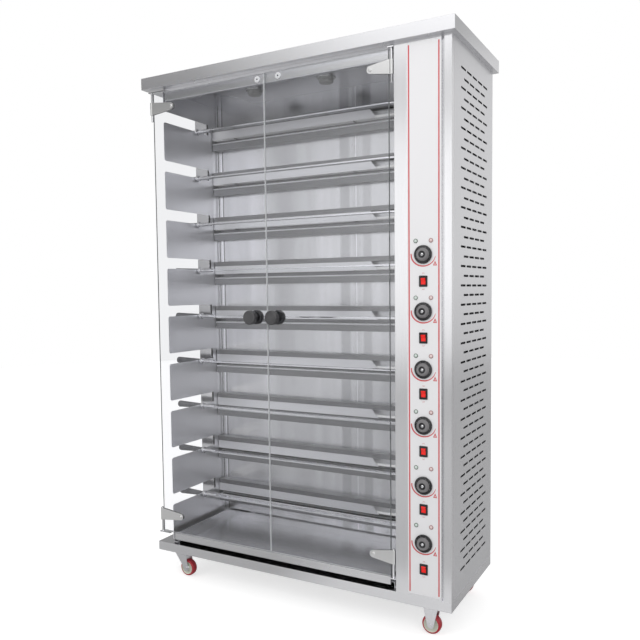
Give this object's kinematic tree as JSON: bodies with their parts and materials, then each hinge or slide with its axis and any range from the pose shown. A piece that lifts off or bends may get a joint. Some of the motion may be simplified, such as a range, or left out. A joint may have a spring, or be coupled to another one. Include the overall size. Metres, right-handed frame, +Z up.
{
  "type": "electric chicken rotisserie",
  "caption": "Tall stainless electric rotisserie cabinet on casters with glass double doors, stacked chain-driven spits, a drip tray and a side control column.",
  "frame": {"origin": "on the floor, under the middle of the whole object's bounding box", "axes": "+Z up, +X towards the control column on the right, +Y from the glass doors to the back"},
  "size_m": [1.2586, 0.4982, 1.9],
  "materials": {
    "stainless": "satin brushed",
    "chamber_steel": "mill finish sheet",
    "reflector_steel": "heat-dulled sheet",
    "spit_steel": "polished",
    "bright_chrome": "polished",
    "zinc": "zinc plated",
    "door_glass": "clear tempered",
    "lamp_glass": "frosted",
    "heater_quartz": "milky quartz",
    "overlay_white": "printed film",
    "black_plastic": "moulded",
    "rocker_red": "translucent red",
    "lamp_lens": "tinted lens",
    "bush_bronze": "machined",
    "motor_paint": "enamel",
    "chain_steel": "oiled",
    "wheel_red": "polyurethane"
  },
  "bodies": {
    "cabinet": {"base_frame": "stainless", "top_cover": "stainless", "ceiling_sheet": "stainless", "left_comb_wall": "chamber_steel", "left_casing": "stainless", "inner_back_wall": "chamber_steel", "inner_right_wall": "chamber_steel", "header_rail": "chamber_steel", "rear_panel": "stainless", "right_side_panel": "stainless", "cover_screws": "zinc", "control_fascia": "stainless", "corner_post": "stainless", "control_overlay": "overlay_white", "switch_bodies": "black_plastic", "thermostats": "zinc", "pilot_lamps": "lamp_lens", "reflectors": "reflector_steel", "heater_tubes": "heater_quartz", "chamber_lamps": "lamp_glass", "door_hardware": "bright_chrome", "tray_runners": "chamber_steel", "spit_bearings": "bush_bronze", "gear_motor": "motor_paint", "drive_chain": "chain_steel", "cable_gland": "black_plastic", "caster_mounts": "zinc"},
    "left_door": {"left_door_glass": "door_glass", "left_door_fittings": "bright_chrome"},
    "right_door": {"right_door_glass": "door_glass", "right_door_fittings": "bright_chrome"},
    "drip_tray": {"drip_tray": "stainless"},
    "motor_sprocket": {"motor_sprocket": "chain_steel"},
    "front_swivel": {"front_swivel_fork": "zinc"},
    "rear_swivel": {"rear_swivel_fork": "zinc"},
    "spit_1": {"spit_1": "spit_steel"},
    "spit_2": {"spit_2": "spit_steel"},
    "spit_3": {"spit_3": "spit_steel"},
    "spit_4": {"spit_4": "spit_steel"},
    "spit_5": {"spit_5": "spit_steel"},
    "spit_6": {"spit_6": "spit_steel"},
    "spit_7": {"spit_7": "spit_steel"},
    "spit_8": {"spit_8": "spit_steel"},
    "spit_9": {"spit_9": "spit_steel"},
    "temperature_knob_1": {"temperature_knob_1": "black_plastic"},
    "temperature_knob_2": {"temperature_knob_2": "black_plastic"},
    "temperature_knob_3": {"temperature_knob_3": "black_plastic"},
    "temperature_knob_4": {"temperature_knob_4": "black_plastic"},
    "temperature_knob_5": {"temperature_knob_5": "black_plastic"},
    "temperature_knob_6": {"temperature_knob_6": "black_plastic"},
    "rocker_1": {"rocker_1": "rocker_red"},
    "rocker_2": {"rocker_2": "rocker_red"},
    "rocker_3": {"rocker_3": "rocker_red"},
    "rocker_4": {"rocker_4": "rocker_red"},
    "rocker_5": {"rocker_5": "rocker_red"},
    "rocker_6": {"rocker_6": "rocker_red"},
    "front_left_wheel": {"front_left_wheel": "wheel_red"},
    "front_right_wheel": {"front_right_wheel": "wheel_red"},
    "rear_left_wheel": {"rear_left_wheel": "wheel_red"},
    "rear_right_wheel": {"rear_right_wheel": "wheel_red"}
  },
  "joints": [
    {"name": "left_door_hinge", "type": "hinge", "parent": "cabinet", "child": "left_door", "pos_m": [-0.5533, -0.21615, 1], "axis": [0, 0, -1], "range_deg": [0, 110]},
    {"name": "right_door_hinge", "type": "hinge", "parent": "cabinet", "child": "right_door", "pos_m": [0.4187, -0.21615, 1], "axis": [0, 0, 1], "range_deg": [0, 110]},
    {"name": "tray_slide", "type": "slide", "parent": "cabinet", "child": "drip_tray", "axis": [0, -1, 0], "range_m": [0, 0.3]},
    {"name": "motor_turn", "type": "hinge", "parent": "cabinet", "child": "motor_sprocket", "pos_m": [0.4487, -0.01315, 0.18416], "axis": [1, 0, 0], "continuous": true},
    {"name": "spit_turn_1", "type": "hinge", "parent": "cabinet", "child": "spit_1", "pos_m": [-0.0713, -0.01315, 0.2755], "axis": [1, 0, 0], "continuous": true},
    {"name": "spit_turn_2", "type": "hinge", "parent": "cabinet", "child": "spit_2", "pos_m": [-0.0713, -0.01315, 0.45819], "axis": [1, 0, 0], "continuous": true},
    {"name": "spit_turn_3", "type": "hinge", "parent": "cabinet", "child": "spit_3", "pos_m": [-0.0713, -0.01315, 0.64088], "axis": [1, 0, 0], "continuous": true},
    {"name": "spit_turn_4", "type": "hinge", "parent": "cabinet", "child": "spit_4", "pos_m": [-0.0713, -0.01315, 0.82357], "axis": [1, 0, 0], "continuous": true},
    {"name": "spit_turn_5", "type": "hinge", "parent": "cabinet", "child": "spit_5", "pos_m": [-0.0713, -0.01315, 1.00626], "axis": [1, 0, 0], "continuous": true},
    {"name": "spit_turn_6", "type": "hinge", "parent": "cabinet", "child": "spit_6", "pos_m": [-0.0713, -0.01315, 1.18895], "axis": [1, 0, 0], "continuous": true},
    {"name": "spit_turn_7", "type": "hinge", "parent": "cabinet", "child": "spit_7", "pos_m": [-0.0713, -0.01315, 1.37164], "axis": [1, 0, 0], "continuous": true},
    {"name": "spit_turn_8", "type": "hinge", "parent": "cabinet", "child": "spit_8", "pos_m": [-0.0713, -0.01315, 1.55433], "axis": [1, 0, 0], "continuous": true},
    {"name": "spit_turn_9", "type": "hinge", "parent": "cabinet", "child": "spit_9", "pos_m": [-0.0713, -0.01315, 1.73702], "axis": [1, 0, 0], "continuous": true},
    {"name": "knob_turn_1", "type": "hinge", "parent": "cabinet", "child": "temperature_knob_1", "pos_m": [0.5237, -0.23115, 0.3082], "axis": [0, 1, 0], "range_deg": [0, 300]},
    {"name": "knob_turn_2", "type": "hinge", "parent": "cabinet", "child": "temperature_knob_2", "pos_m": [0.5237, -0.23115, 0.4926], "axis": [0, 1, 0], "range_deg": [0, 300]},
    {"name": "knob_turn_3", "type": "hinge", "parent": "cabinet", "child": "temperature_knob_3", "pos_m": [0.5237, -0.23115, 0.6819], "axis": [0, 1, 0], "range_deg": [0, 300]},
    {"name": "knob_turn_4", "type": "hinge", "parent": "cabinet", "child": "temperature_knob_4", "pos_m": [0.5237, -0.23115, 0.8566], "axis": [0, 1, 0], "range_deg": [0, 300]},
    {"name": "knob_turn_5", "type": "hinge", "parent": "cabinet", "child": "temperature_knob_5", "pos_m": [0.5237, -0.23115, 1.0358], "axis": [0, 1, 0], "range_deg": [0, 300]},
    {"name": "knob_turn_6", "type": "hinge", "parent": "cabinet", "child": "temperature_knob_6", "pos_m": [0.5237, -0.23115, 1.21], "axis": [0, 1, 0], "range_deg": [0, 300]},
    {"name": "rocker_tilt_1", "type": "hinge", "parent": "cabinet", "child": "rocker_1", "pos_m": [0.5237, -0.21715, 0.2245], "axis": [-1, 0, 0], "range_deg": [0, 18]},
    {"name": "rocker_tilt_2", "type": "hinge", "parent": "cabinet", "child": "rocker_2", "pos_m": [0.5237, -0.21715, 0.4162], "axis": [-1, 0, 0], "range_deg": [0, 18]},
    {"name": "rocker_tilt_3", "type": "hinge", "parent": "cabinet", "child": "rocker_3", "pos_m": [0.5237, -0.21715, 0.6002], "axis": [-1, 0, 0], "range_deg": [0, 18]},
    {"name": "rocker_tilt_4", "type": "hinge", "parent": "cabinet", "child": "rocker_4", "pos_m": [0.5237, -0.21715, 0.7805], "axis": [-1, 0, 0], "range_deg": [0, 18]},
    {"name": "rocker_tilt_5", "type": "hinge", "parent": "cabinet", "child": "rocker_5", "pos_m": [0.5237, -0.21715, 0.9542], "axis": [-1, 0, 0], "range_deg": [0, 18]},
    {"name": "rocker_tilt_6", "type": "hinge", "parent": "cabinet", "child": "rocker_6", "pos_m": [0.5237, -0.21715, 1.1286], "axis": [-1, 0, 0], "range_deg": [0, 18]},
    {"name": "front_swivel", "type": "hinge", "parent": "cabinet", "child": "front_swivel", "pos_m": [-0.4913, -0.17315, 0.09], "axis": [0, 0, 1], "continuous": true},
    {"name": "front_left_roll", "type": "hinge", "parent": "front_swivel", "child": "front_left_wheel", "pos_m": [-0.4643, -0.17315, 0.0315], "axis": [0, 1, 0], "continuous": true},
    {"name": "front_right_roll", "type": "hinge", "parent": "cabinet", "child": "front_right_wheel", "pos_m": [0.5337, -0.17315, 0.0315], "axis": [0, 1, 0], "continuous": true},
    {"name": "rear_swivel", "type": "hinge", "parent": "cabinet", "child": "rear_swivel", "pos_m": [-0.4913, 0.17685, 0.09], "axis": [0, 0, 1], "continuous": true},
    {"name": "rear_left_roll", "type": "hinge", "parent": "rear_swivel", "child": "rear_left_wheel", "pos_m": [-0.4643, 0.17685, 0.0315], "axis": [0, 1, 0], "continuous": true},
    {"name": "rear_right_roll", "type": "hinge", "parent": "cabinet", "child": "rear_right_wheel", "pos_m": [0.5337, 0.17685, 0.0315], "axis": [0, 1, 0], "continuous": true}
  ],
  "couplings": [
    {"joint": "motor_turn", "follows": "spit_turn_1", "ratio": 1},
    {"joint": "spit_turn_2", "follows": "spit_turn_1", "ratio": 1},
    {"joint": "spit_turn_3", "follows": "spit_turn_1", "ratio": 1},
    {"joint": "spit_turn_4", "follows": "spit_turn_1", "ratio": 1},
    {"joint": "spit_turn_5", "follows": "spit_turn_1", "ratio": 1},
    {"joint": "spit_turn_6", "follows": "spit_turn_1", "ratio": 1},
    {"joint": "spit_turn_7", "follows": "spit_turn_1", "ratio": 1},
    {"joint": "spit_turn_8", "follows": "spit_turn_1", "ratio": 1},
    {"joint": "spit_turn_9", "follows": "spit_turn_1", "ratio": 1}
  ]
}
